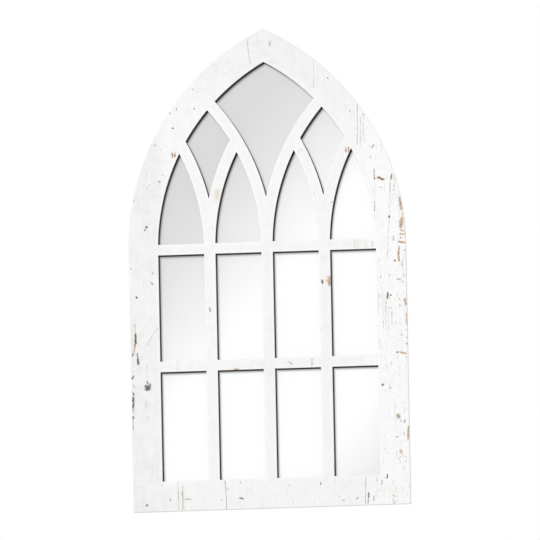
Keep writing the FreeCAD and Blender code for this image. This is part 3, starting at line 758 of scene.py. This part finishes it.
paintwork = {
    "leftBoard": (-0.22, -0.27),     # metres across, from where the greyer board shows to its full
    "rightBoard": (0.20, 0.28),      # the same for the whitest board
    "whites": [(0.0, tone(237)), (0.35, tone(247)), (0.65, tone(252)), (1.0, tone(255))],
    "dry": paint(216, 215, 213),     # where the brush ran dry
    "hair": paint(190, 187, 183),
    "dots": paint(150, 146, 142),
    # colour of the painted shade on the outside's cut side
    "side": paint(204, 203, 201),
    "stain": paint(224, 206, 178),
    "speck": paint(126, 118, 111),
    "line": paint(128, 123, 118),
    "bareRim": paint(206, 194, 182),
    "darkRim": paint(192, 183, 174),
    "bark": (paint(154, 116, 90), paint(196, 156, 126)),     # the weathered wood of a chip
    "wood": paint(228, 196, 164),    # and its fresh middle
    "pores": paint(110, 86, 68),
    "soot": (paint(60, 54, 50), paint(106, 94, 86)),
    "relief": 0.0006,                # metres
}


def paintedWood():
    sheet = newSheet("distressedWhite")
    place = sheet.place()
    across, upright = place.part("X"), place.part("Z")
    patches = sheet.noise(place, 6, 2)
    smudge = sheet.noise(place, 42, 3, 0.6)
    mottle = sheet.noise(place * (1, 1, 0.5), 150, 4, 0.6)
    streaks = sheet.noise(place * (1, 1, 0.10), 150, 3, 0.6)
    fibres = sheet.noise(place * (1, 1, 0.04), 420, 3, 0.6)
    fine = sheet.noise(place * (1, 1, 0.10), 1500, 2, 0.5)
    hair = sheet.noise(place * (1, 1, 0.05), 210, 2, 0.5, 0.3)
    leftSide = across.fade(*paintwork["leftBoard"])
    rightSide = across.fade(*paintwork["rightBoard"])
    # the boards differ a little, and the right one is the whitest
    level = 0.44 - leftSide * 0.24 + rightSide * 0.50 - upright.fade(0.10, 0.38) * 0.26
    level = level + (patches - 0.5) * 0.35 + (smudge - 0.5) * 0.75 + (mottle - 0.5) * 0.40
    level = level + (streaks - 0.5) * (0.50 + rightSide * 0.7) + (fibres - 0.5) * 0.20
    # painted highlight: a whiter band along the openings' edges
    level = level + sheet.mark("rim") * 0.45
    white = sheet.node("ValToRGB", {"stops": paintwork["whites"]}, {"Fac": level})
    # greyish places where the brush ran dry along the grain, and hairlines in the paint
    leftArch = leftSide * upright.fade(-0.10, 0.05)
    amount = 0.40 - leftSide * 0.2 + rightSide * 0.9 + upright.fade(-0.60, -0.68) * 0.3
    amount = amount + leftArch * 0.8
    dry = streaks.fade(0.56, 0.70) * smudge.fade(0.44, 0.62)
    white = sheet.mix(dry * amount * 0.45, white, paintwork["dry"])
    hairs = abs(hair - 0.5).fade(0.004, 0.016, 1.0, 0.0) * mottle.fade(0.50, 0.62)
    white = sheet.mix(hairs * amount * 0.7, white, paintwork["hair"])
    busy = 0.06 + leftArch * 0.55 + rightSide * 0.26 + patches.fade(0.52, 0.66) * 0.14
    dots = specks(sheet, place, 150, 0.19, busy) * 0.75
    dots = dots.most(specks(sheet, place * (1, 1, 0.5), 330, 0.24, busy) * 0.4)
    white = sheet.mix(dots, white, paintwork["dots"])
    # noise frays the edges of the marks
    crumble = sheet.noise(place, 330, 4, 0.7) - 0.5
    ragged = sheet.noise(place, 1100, 3, 0.65) - 0.5
    coarse = sheet.noise(place * (1, 1, 0.18), 700, 3, 0.65) - 0.5
    bareField = sheet.mark("bare") * (1.0 + crumble * 3.2 + coarse * 1.2)
    darkField = sheet.mark("dark") * (1.0 + crumble * 2.4 + ragged * 1.4)
    lineField = sheet.mark("line") * (1.0 + coarse * 2.6 + crumble * 1.5)
    stainField = sheet.mark("stain") * (1.0 + coarse * 1.4 + crumble * 1.0)
    bare, dark = bareField.fade(0.45, 0.61), darkField.fade(0.46, 0.66)
    line, stain = lineField.fade(0.10, 0.70), stainField.fade(0.05, 0.95)
    speck = (sheet.mark("speck") * (1.0 + crumble * 1.6 + ragged * 0.8)).fade(0.22, 0.72)
    bark = sheet.mix(fibres.fade(0.40, 0.62), *paintwork["bark"])
    wood = sheet.mix(bareField.fade(0.62, 1.0), paintwork["wood"], bark)
    wood = sheet.mix(fine.fade(0.60, 0.72) * 0.4, wood, paintwork["pores"])
    # painted shade on the outside's cut side, mottled
    side = sheet.mark("side") * (0.75 + (mottle - 0.5) * 1.2)
    bareRim = bareField.fade(0.24, 0.45) - bare
    darkRim = darkField.fade(0.24, 0.46) - dark
    soot = sheet.mix(crumble + 0.5, *paintwork["soot"])
    colour = white
    for share, coat in ((side, "side"), (stain * 0.6, "stain"), (bareRim * 0.35, "bareRim"),
                        (bare * 0.95, wood), (speck * 0.62, "speck"), (line * 0.8, "line"),
                        (darkRim * 0.5, "darkRim"), (dark * 0.92, soot)):
        colour = sheet.mix(share, colour, coat if isinstance(coat, Wire) else paintwork[coat])
    rough = 0.44 + mottle * 0.18 + bare * 0.25 + dark * 0.2
    height = streaks * 0.16 + fibres * 0.12 + mottle * 0.08 + fine * 0.04
    height = height - bare * 0.30 - dark * 0.45 - line * 0.35 - dots * 0.15 - hairs * 0.08
    return sheet.finish(colour, rough, height, paintwork["relief"], Specular_IOR_Level=0.35)


cut = {
    "colours": (paint(58, 56, 55), paint(104, 102, 100)),
    "relief": 0.0003,        # metres
}


def cutEdge():
    sheet = newSheet("darkCutEdge")
    place = sheet.place()
    fibre = sheet.noise(place, 700, 4, 0.7)
    cloud = sheet.noise(place, 60, 3)
    colour = sheet.mix(fibre * 0.6 + cloud * 0.4, *cut["colours"])
    return sheet.finish(colour, 0.75, fibre, cut["relief"], Specular_IOR_Level=0.2)


def fairLoops(node, level, outerStep, windowStep):
    # the outside first, turning left, then the openings, turning right
    loops = sorted(readLoops(frame["nodes"][node], level), key=lambda loop: -abs(areaOf(loop)))
    fair = []
    for number, loop in enumerate(loops):
        if (areaOf(loop) > 0) != (number == 0):
            loop = loop[::-1]
        fair.append(resample(loop, windowStep if number else outerStep))
    return fair


faceLoops = fairLoops("face_panel", faceLow.y, face["outerStep"], face["windowStep"])
windows = faceLoops[1:]


def ripple(spots, across, up, start):
    return np.array([noise.noise((x * across, h * up, start)) for x, h in spots])


def wearFace(spots, depths, normals):
    # chips eat into the edges, and marks sink into a softly wandering surface
    fields = {kind: markField(kind, spots) for kind in face["depths"]}
    wander, chatter = ripple(spots, *face["wander"]), ripple(spots, *face["chatter"])
    onFront = np.clip(1 - depths / face["lossReach"], 0, 1)
    loss = np.maximum(fields["bare"], fields["dark"] * 0.8)
    loss = np.clip(loss * 2 - 0.5, 0, 1) * (0.7 + 0.3 * chatter) * face["edgeLoss"] * onFront
    loss = loss + (0.03 + 0.02 * chatter) * (depths > 0)
    sunk = face["wave"] * (0.5 + 0.5 * wander)
    for kind, (depth, start) in face["depths"].items():
        sunk = sunk + depth * np.clip(fields[kind] * 2 - start, 0, 1)
    return spots + normals * loss[:, None], sunk * (depths < 0.2)


def makeFace():
    front, rear, pitch = face["rounding"], face["rearRounding"], face["pitch"]
    thick = faceHigh.y - faceLow.y
    rows = [(front + face["flatBand"], 0.0), (front, 0.0)]
    for angle in (30, 60, 90):
        turn = math.radians(angle)
        rows.append((front * (1 - math.sin(turn)), front * (1 - math.cos(turn))))
    rows += [(0, depth) for depth in face["sideRows"]] + [(0, thick - rear), (rear, thick)]
    rings = [np.array(loop) + leftNormals(loop) * rows[0][0] for loop in faceLoops]
    near = onSheet(markPoints(), rings, face["closest"])
    spread = onSheet(spreadPoints(faceLoops[0], pitch), rings, face["edgeRoom"] * pitch)
    extra = near + clearOf(spread, near, face["markRoom"] * pitch)
    item, spots, depths, origins = sheetPiece("face", faceLoops, rows, extra, faceLow.y,
                                              wearFace, paintedWood(), cutEdge())
    full, reach = face["markFade"]
    for kind in faceMarks:
        addField(item, kind, markField(kind, spots) * np.clip(full - depths / reach, 0, 1))
    away = -signedDistance(spots, windows)
    # painted highlight round the openings, fading out over its width
    addField(item, "rim", np.clip(1 - away / face["whiteRim"], 0, 1) * (depths < 1))
    # painted shade: the outside's cut side is painted greyer once it is past the rounding
    addField(item, "side", np.clip(depths / 1.2 - 0.2, 0, 1) * (away > face["frameWidth"]))
    item.data.polygons.foreach_set("material_index", [
        int(number > 0 and depth > face["paintDepth"]) for number, depth in origins])
    # smooth shading that leaves the flats flat
    item.data.shade_smooth()
    item.modifiers.new("flats", "WEIGHTED_NORMAL").keep_sharp = True
    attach(item, "mirror_body")
    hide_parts("face_panel")
    return item


facePiece = makeFace()
print("face made:", len(facePiece.data.vertices), "points", len(facePiece.data.polygons), "faces")


mirror = {
    "arris": 0.4,            # of the glass's ground edges
    "step": 6.0,             # spacing of points along its outline
    "pitch": 30,             # and over the sheet
    "edgeRoom": 2.0,         # from the outline to the points over the sheet
    "shadeShift": (3.3, -4.4),   # painted shadow of the frame: the soft dark line at the left and top of each opening
    "shadeBlur": 4.6,
    "shadeDepth": 0.8,
    # rows of points that carry it, by their distance inside each opening, and one behind its edge
    "shadeRows": (0.8, 1.8, 2.8, 3.8, 4.8, 6.0, 7.4, 9.0, 11.0),
    "hiddenRow": 0.6,
    "bright": (paint(252, 252, 252), paint(254, 254, 254)),
    # colour of the painted shadow
    "shade": paint(52, 52, 53),
    "dust": paint(150, 150, 150),
}


def silveredGlass():
    sheet = newSheet("silveredGlass")
    place = sheet.place()
    faint = sheet.noise(place, 9, 2)
    dust = sheet.noise(place, 700, 1).fade(0.80, 0.84)
    colour = sheet.mix(faint, *mirror["bright"])
    # painted shadow of the frame at the left and top of each opening
    colour = sheet.mix(sheet.mark("shade") * mirror["shadeDepth"], colour, mirror["shade"])
    colour = sheet.mix(dust * 0.3, colour, mirror["dust"])
    return sheet.finish(colour, 0.015 + faint * 0.02, Metallic=0.92, Specular_IOR_Level=0.5)


def makeMirror():
    outline = fairLoops("mirror_glass", mirrorLow.y, mirror["step"], mirror["step"])[0]
    extra = []
    for row in mirror["shadeRows"]:
        for loop in windows:
            spots = np.array(loop) - leftNormals(loop) * row
            # not where a row crosses itself in a corner
            extra += spots[signedDistance(spots, [loop]) > row * 0.93].tolist()
    for loop in windows:
        extra += (np.array(loop) + leftNormals(loop) * mirror["hiddenRow"]).tolist()
    extra += spreadPoints(outline, mirror["pitch"])
    arris, thick = mirror["arris"], mirrorHigh.y - mirrorLow.y
    rows = [(arris, 0.0), (0, arris), (0, thick - arris), (arris, thick)]
    rings = [np.array(outline) + leftNormals(outline) * arris]
    item, spots, depths, _ = sheetPiece(
        "mirrorPlate", [outline], rows, onSheet(extra, rings, mirror["edgeRoom"]), mirrorLow.y,
        lambda spots, depths, normals: (spots, 0), silveredGlass())
    # the painted shadow: the openings' outlines shifted down to the right and blurred
    away = signedDistance(spots - np.array(mirror["shadeShift"]), windows) / mirror["shadeBlur"]
    shade = np.clip(0.5 - 0.5 * away, 0, 1)
    addField(item, "shade", shade * shade * (3 - 2 * shade) * (depths < 1))
    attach(item, "mirror_body")
    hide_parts("mirror_glass")


batten = {
    "colours": (paint(201, 176, 140), paint(164, 132, 94)),
    "growth": 160,           # growth lines to a metre across the grain
    "scratch": 0.00025,      # metres deep
}


def rawWood(name, stretch, turn=0.0):
    # sawn wood; stretch is small along the grain, turn tips it in the face's plane
    sheet = newSheet(name)
    place = sheet.node("VectorRotate", {"rotation_type": "Y_AXIS"},
                       {"Vector": sheet.place(), "Angle": math.radians(turn)})
    grain = place * stretch
    warp = sheet.noise(grain, 40, 3, 0.55)
    fibre = sheet.noise(grain, 1100, 3, 0.65)
    growth = sheet.node("TexWave", {"wave_type": "BANDS", "bands_direction": "DIAGONAL"}, {
        "Vector": grain, "Scale": batten["growth"], "Distortion": 3.0, "Detail": 2.0,
        "Detail Scale": 1.2,
    }, "Fac")
    colour = sheet.mix(growth * 0.35 + warp * 0.45 + (fibre - 0.5) * 0.5, *batten["colours"])
    saw = sheet.noise(place, 420, 2, 0.5)
    return sheet.finish(colour, 0.72 + warp * 0.12, fibre * 0.7 + saw * 0.3, batten["scratch"],
                        Specular_IOR_Level=0.25)


board = {
    "colours": (paint(157, 122, 84), paint(112, 82, 54)),
    "fleck": paint(196, 168, 128),
    "relief": 0.0002,        # metres
}


def hardboard():
    # pressed fibre, smooth side out: short felted fibres and a few pale flecks
    sheet = newSheet("hardboard")
    place = sheet.place()
    cloud = sheet.noise(place, 5, 3, 0.5)
    felt = sheet.noise(place, 260, 4, 0.7, 1.5)
    fibre = sheet.noise(place * (1, 1, 0.35), 800, 2, 0.6, 2.0)
    fleck = sheet.noise(place, 520, 2, 0.5).fade(0.66, 0.74)
    colour = sheet.mix(felt * 0.6 + cloud * 0.5, *board["colours"])
    colour = sheet.mix(fleck * 0.45, colour, board["fleck"])
    return sheet.finish(colour, 0.50 + cloud * 0.15, felt * 0.5 + fibre * 0.4, board["relief"],
                        Specular_IOR_Level=0.4)


foam = {
    "colours": (paint(236, 234, 226), paint(205, 202, 192)),
    "cells": 1400,           # to a metre
    "relief": 0.0004,        # metres
}


def paleFoam():
    sheet = newSheet("paleFoam")
    place = sheet.place()
    cell = sheet.cells(place, foam["cells"])
    cloud = sheet.noise(place, 30, 2)
    colour = sheet.mix(cell * 0.7 + cloud * 0.3, *foam["colours"])
    return sheet.finish(colour, 0.9, 1 - cell, foam["relief"])


def setMaterial(material, *names):
    for name in names:
        mesh = frame["nodes"][name].data
        mesh.materials.clear()
        mesh.materials.append(material)


makeMirror()
setMaterial(rawWood("uprightBatten", (1, 1, 0.04)), "left_batten", "right_batten")
setMaterial(rawWood("bottomBatten", (0.04, 1, 1)), "bottom_batten")
setMaterial(rawWood("leftArchBatten", (1, 1, 0.06), 28), "left_arch_batten")
setMaterial(rawWood("rightArchBatten", (1, 1, 0.06), -28), "right_arch_batten")
setMaterial(hardboard(), "backing_board")
setMaterial(paleFoam(), "mirror_foam_strips")
print("mirror, battens, board and foam finished")


plating = {
    "roughness": 0.24,
    "relief": 0.00004,       # metres
}


def zinc(name, darkest, brightest, scale):
    # bright plating with a faint spangle, wipe marks and a little dulling
    sheet = newSheet(name)
    place = sheet.place()
    spangle = sheet.cells(place, scale, "Color").part("Red")
    dull = sheet.noise(place, 180, 3, 0.6)
    fine = sheet.noise(place, 2600, 2, 0.6)
    colour = sheet.mix(spangle * 0.35 + dull * 0.65, paint(darkest, darkest, darkest + 2),
                       paint(brightest, brightest, brightest))
    rough = plating["roughness"] + dull * 0.22 + fine * 0.08
    return sheet.finish(colour, rough, fine * 0.5 + dull * 0.5, plating["relief"], Metallic=1.0)


def addPiece(name, parts, material, body, node, smoothAngle):
    # one mesh from (points, faces) parts in millimetres, standing for a CAD node
    points, faces = [], []
    for partPoints, partFaces in parts:
        faces += [tuple(i + len(points) for i in ring) for ring in partFaces]
        points += [tuple(value / 1000 for value in p) for p in partPoints]
    item = newMesh(name, points, faces, material)
    fixNormals(item.data)
    item.data.shade_smooth()
    item.data.set_sharp_from_angle(angle=math.radians(smoothAngle))
    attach(item, body)
    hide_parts(node)


def circle(radius, count):
    angles = [2 * math.pi * i / count for i in range(count)]
    return [(radius * math.cos(angle), radius * math.sin(angle)) for angle in angles]


def arc(middle, radius, start, end, steps):
    # points from one angle to the other, in degrees
    angles = [math.radians(start + (end - start) * i / steps) for i in range(steps + 1)]
    return [(middle[0] + radius * math.cos(angle), middle[1] + radius * math.sin(angle))
            for angle in angles]


def addRing(points, faces, upper, ring):
    # adds a ring of points, joined to the one before; returns their numbers
    lower = list(range(len(points), len(points) + len(ring)))
    points += ring
    faces += band(upper, lower) if upper else []
    return lower


def joined(sections):
    # rings of (across, out, up) points, each joined to the next
    points, faces, rings = [], [], [None]
    for section in sections:
        rings.append(addRing(points, faces, rings[-1], section))
    return points, faces, rings[1], rings[-1]


def turned(profile, segments=48):
    # (radius, out) points turned round an axis that points out to the back, closed on the axis
    points, faces, *ends = joined([[(x, out, z) for x, z in circle(radius, segments)]
                                   for radius, out in profile[1:-1]])
    for end, (_, out) in zip(ends, (profile[0], profile[-1])):
        faces += [(len(points), a, b) for a, b in zip(end, end[1:] + end[:1])]
        points.append((0, out, 0))
    return points, faces


def moved(part, across, out, up, turn=0.0):
    cos, sin = math.cos(turn), math.sin(turn)
    points = [(x * cos - z * sin + across, y + out, x * sin + z * cos + up)
              for x, y, z in part[0]]
    return points, part[1]


screws = {
    "backingHead": 3.4,      # radius
    "hangerHead": 3.6,
    "headHeight": 2.2,
    "crownEdge": 0.45,       # share of that height where the dome meets the rim
    "crownPower": 3.4,       # larger is flatter
    "crownRings": (0.93, 0.86, 0.76, 0.66),      # of points on it, as shares of the head's radius
    "crownRim": 0.97,
    "skirt": 0.40,           # share of the head's height where its side starts
    "shank": 1.75,           # radius
    "point": (1.5, 0.4),     # length and blunt end of the point, in radii of the shank
    "segments": 36,
    "slotReach": 1.9,
    "slotWidth": 0.8,
    "slotDepth": 1.1,
    "slotTaper": 0.62,
    "zinc": (168, 205, 900),     # greys of the plating and spangles to a metre
}


def screwPart(headRadius, length):
    # a pan head with a tapered cross recess, over a plain shank; 0 is under the head
    count, headHeight, shank = screws["segments"], screws["headHeight"], screws["shank"]
    reach, half, taper = screws["slotReach"], screws["slotWidth"] / 2, screws["slotTaper"]
    corner = [(reach, half), (half, half), (half, reach)]
    cross = [(x * cos - z * sin, x * sin + z * cos)
             for cos, sin in ((1, 0), (0, 1), (-1, 0), (0, -1)) for x, z in corner]
    extra = [p for share in screws["crownRings"] for p in circle(headRadius * share, count)]
    rim = circle(headRadius * screws["crownRim"], count)
    flat, faces, index = facesBetween([rim, cross], extra)
    edge, power, (pointLength, pointEnd) = (screws[name] for name in
                                            ("crownEdge", "crownPower", "point"))

    def crown(x, z):
        share = min(1.0, math.hypot(x, z) / headRadius)
        return headHeight * (edge + (1 - edge) * (1 - share ** power) ** 0.5)

    points = [(x, crown(x, z), z) for x, z in flat]
    ring = index[:count]
    for radius, out in ((headRadius, headHeight * screws["skirt"]), (headRadius, 0.0),
                        (shank, 0.0), (shank, -(length - shank * pointLength)),
                        (shank * pointEnd, -length)):
        ring = addRing(points, faces, ring, [(x, out, z) for x, z in circle(radius, count)])
    faces.append(tuple(ring))
    floor = addRing(points, faces, index[count:], [
        (x * taper, headHeight - screws["slotDepth"], z * taper) for x, z in cross])
    return points, faces + [tuple(floor)]


def screwPlaces(node):
    # middles of the separate screws that a CAD node holds, across and up
    work = bmesh.new()
    work.from_mesh(frame["nodes"][node].data)
    bmesh.ops.remove_doubles(work, verts=work.verts, dist=1e-6)
    places, seen = [], set()
    for vertex in work.verts:
        if vertex in seen:
            continue
        seen.add(vertex)
        island = [vertex]
        for here in island:
            for other in (edge.other_vert(here) for edge in here.link_edges):
                if other not in seen:
                    seen.add(other)
                    island.append(other)
        across = [spot.co.x for spot in island]
        up = [spot.co.z for spot in island]
        places.append(((min(across) + max(across)) * 500, (min(up) + max(up)) * 500))
    work.free()
    return places


def makeScrews(name, node, headRadius):
    low, high = (corner * 1000 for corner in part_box(node))
    underHead = high.y - screws["headHeight"]
    part = screwPart(headRadius, underHead - low.y)
    parts = [moved(part, x, underHead, z, random.uniform(0, math.pi / 2))
             for x, z in screwPlaces(node)]
    addPiece(name, parts, zinc(name + "Zinc", *screws["zinc"]), "mirror_body", node,
             35)


strap = {
    "width": 14,
    "thickness": 1.2,
    "edge": 0.3,             # rounding along the strap
    "roll": 322,             # degrees that the end is rolled round the ring's bar
    "tipRows": (0.004, 0.03, 0.08, 0.16, 0.28, 0.42, 0.6, 0.8, 1.0),   # up the round tip
    "straightRows": 8,
    "rollRows": 30,
    "zinc": (178, 212, 700),
}
ring = {
    "wire": 1.5,             # radius
    "opening": 21,
    "depth": 17,
    "corner": 3,
    "barRows": 7,
    "cornerRows": 8,
    "bowRows": 32,
    "segments": 20,
    "zinc": (182, 218, 600),
}


def sweep(sections, isClosed=False):
    # a bar through rings of points, closed on itself or with flat ends
    points, faces, first, last = joined(sections)
    return points, faces + (band(last, first) if isClosed else [tuple(first), tuple(last)])


def rightOf(before, after):
    # unit vector to the right of the way from one point to the other
    run = Vector((after[0] - before[0], after[1] - before[1])).normalized()
    return Vector((run.y, -run.x))


def makeStrap(side, pivot):
    low, high = (corner * 1000 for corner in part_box(side + "_hanger_strap"))
    half, thick, edge = strap["width"] / 2, strap["thickness"], strap["edge"]
    roll = high.y - pivot[1] - thick / 2
    flat, shoulder = low.y + thick / 2, low.z + half
    path = []                # (out, up, half width) up the round tip, straight on and rolled
    for share in strap["tipRows"]:
        up = half * share
        path.append((flat, low.z + up, math.sqrt(half ** 2 - (half - up) ** 2)))
    for i in range(1, strap["straightRows"] + 1):
        path.append((flat, shoulder + (pivot[2] - low.z - half) * i / strap["straightRows"], half))
    for i in range(1, strap["rollRows"] + 1):
        angle = math.radians(strap["roll"] * i / strap["rollRows"])
        path.append((pivot[1] - roll * math.cos(angle), pivot[2] + roll * math.sin(angle), half))
    sections = []
    for before, (out, up, wide), after in zip(path[:1] + path, path, path[1:] + path[-1:]):
        normal = rightOf(before, after)
        bend = min(edge, wide * 0.4)
        section = []
        for sideways, offset in ((1, 1), (-1, 1), (-1, -1), (1, -1)):
            corner = [(sideways * (wide - bend + x), offset * (thick / 2 - bend + t))
                      for t, x in arc((0, 0), bend, 0, 90, 3)]
            section += corner[::-1] if sideways * offset > 0 else corner
        sections.append([(pivot[0] + x, out + normal.x * t, up + normal.y * t)
                         for x, t in section])
    addPiece(side + "HangerStrap", [sweep(sections)], zinc(side + "StrapZinc", *strap["zinc"]),
             "mirror_body", side + "_hanger_strap", 50)


def makeRing(side, pivot):
    wire, corner = ring["wire"], ring["corner"]
    bow = ring["opening"] / 2 + wire
    legEnd = bow - wire - ring["depth"]
    # (across, up) of the wire's middle: the bar, a corner, the bow and the other corner
    barEnd, rows = bow - corner, ring["barRows"]
    route = [(-barEnd + 2 * barEnd * i / rows, 0) for i in range(rows)]
    route += arc((barEnd, -corner), corner, 90, 0, ring["cornerRows"])
    route += arc((0, legEnd), bow, 0, -180, ring["bowRows"])[1:]
    route += arc((-barEnd, -corner), corner, 180, 90, ring["cornerRows"])[:-1]
    sections = []
    for i, (x, z) in enumerate(route):
        normal = rightOf(route[i - 1], route[(i + 1) % len(route)])
        sections.append([(pivot[0] + x + normal.x * reach, pivot[1] + rise,
                          pivot[2] + z + normal.y * reach)
                         for reach, rise in circle(wire, ring["segments"])])
    addPiece(side + "HangerRing", [sweep(sections, isClosed=True)],
             zinc(side + "RingZinc", *ring["zinc"]), side + "_ring", side + "_hanger_ring",
             60)


bumper = {
    "flat": 3.9,             # radius of the part that rests on the wall
    "padHeight": 0.5,        # its sticky foot on the board
    "padInset": 0.35,
    "lean": 0.28,            # share of the height where the side starts to lean in
    "round": (1.4, 1.3),     # how it rounds over to the flat, across and out
    "roundRows": 6,
    "colours": (paint(50, 50, 52), paint(70, 69, 69)),
    "relief": 0.00005,       # metres
}


def greyRubber():
    sheet = newSheet("greyRubber")
    place = sheet.place()
    cloud = sheet.noise(place, 240, 3, 0.6)
    fine = sheet.noise(place, 3000, 2, 0.6)
    return sheet.finish(sheet.mix(cloud, *bumper["colours"]), 0.55 + fine * 0.2, fine,
                        bumper["relief"])


def makeBumper(node, material):
    low, high = (corner * 1000 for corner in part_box(node))
    radius, height, flat = (high.x - low.x) / 2, high.y - low.y, bumper["flat"]
    foot, pad, lean = radius - bumper["padInset"], bumper["padHeight"], height * bumper["lean"]
    profile = [(0, 0), (foot, 0), (foot, pad), (radius, pad), (radius, lean)]
    for i in range(1, bumper["roundRows"] + 1):
        angle = math.pi / 2 * (i / bumper["roundRows"])
        profile.append((flat + (radius - flat) * math.cos(angle) ** bumper["round"][0],
                        lean + (height - lean) * math.sin(angle) ** bumper["round"][1]))
    profile += [(flat * 0.6, height), (0, height)]
    part = moved(turned(profile), (low.x + high.x) / 2, low.y, (low.z + high.z) / 2)
    first, *others = node.split("_")
    name = first + "".join(word.capitalize() for word in others)
    addPiece(name, [part], material, "mirror_body", node, 50)


makeScrews("backingScrews", "backing_screws", screws["backingHead"])
for joint in frame["joints"]:
    side = joint["child"].split("_")[0]
    pivot = [value * 1000 for value in joint["pos_m"]]
    makeStrap(side, pivot)
    makeRing(side, pivot)
    makeScrews(side + "HangerScrews", side + "_hanger_screws", screws["hangerHead"])
darkRubber = greyRubber()
for node in sorted(frame["nodes"]):
    if node.endswith("_bumper"):
        makeBumper(node, darkRubber)
print("screws, hangers and bumpers made")
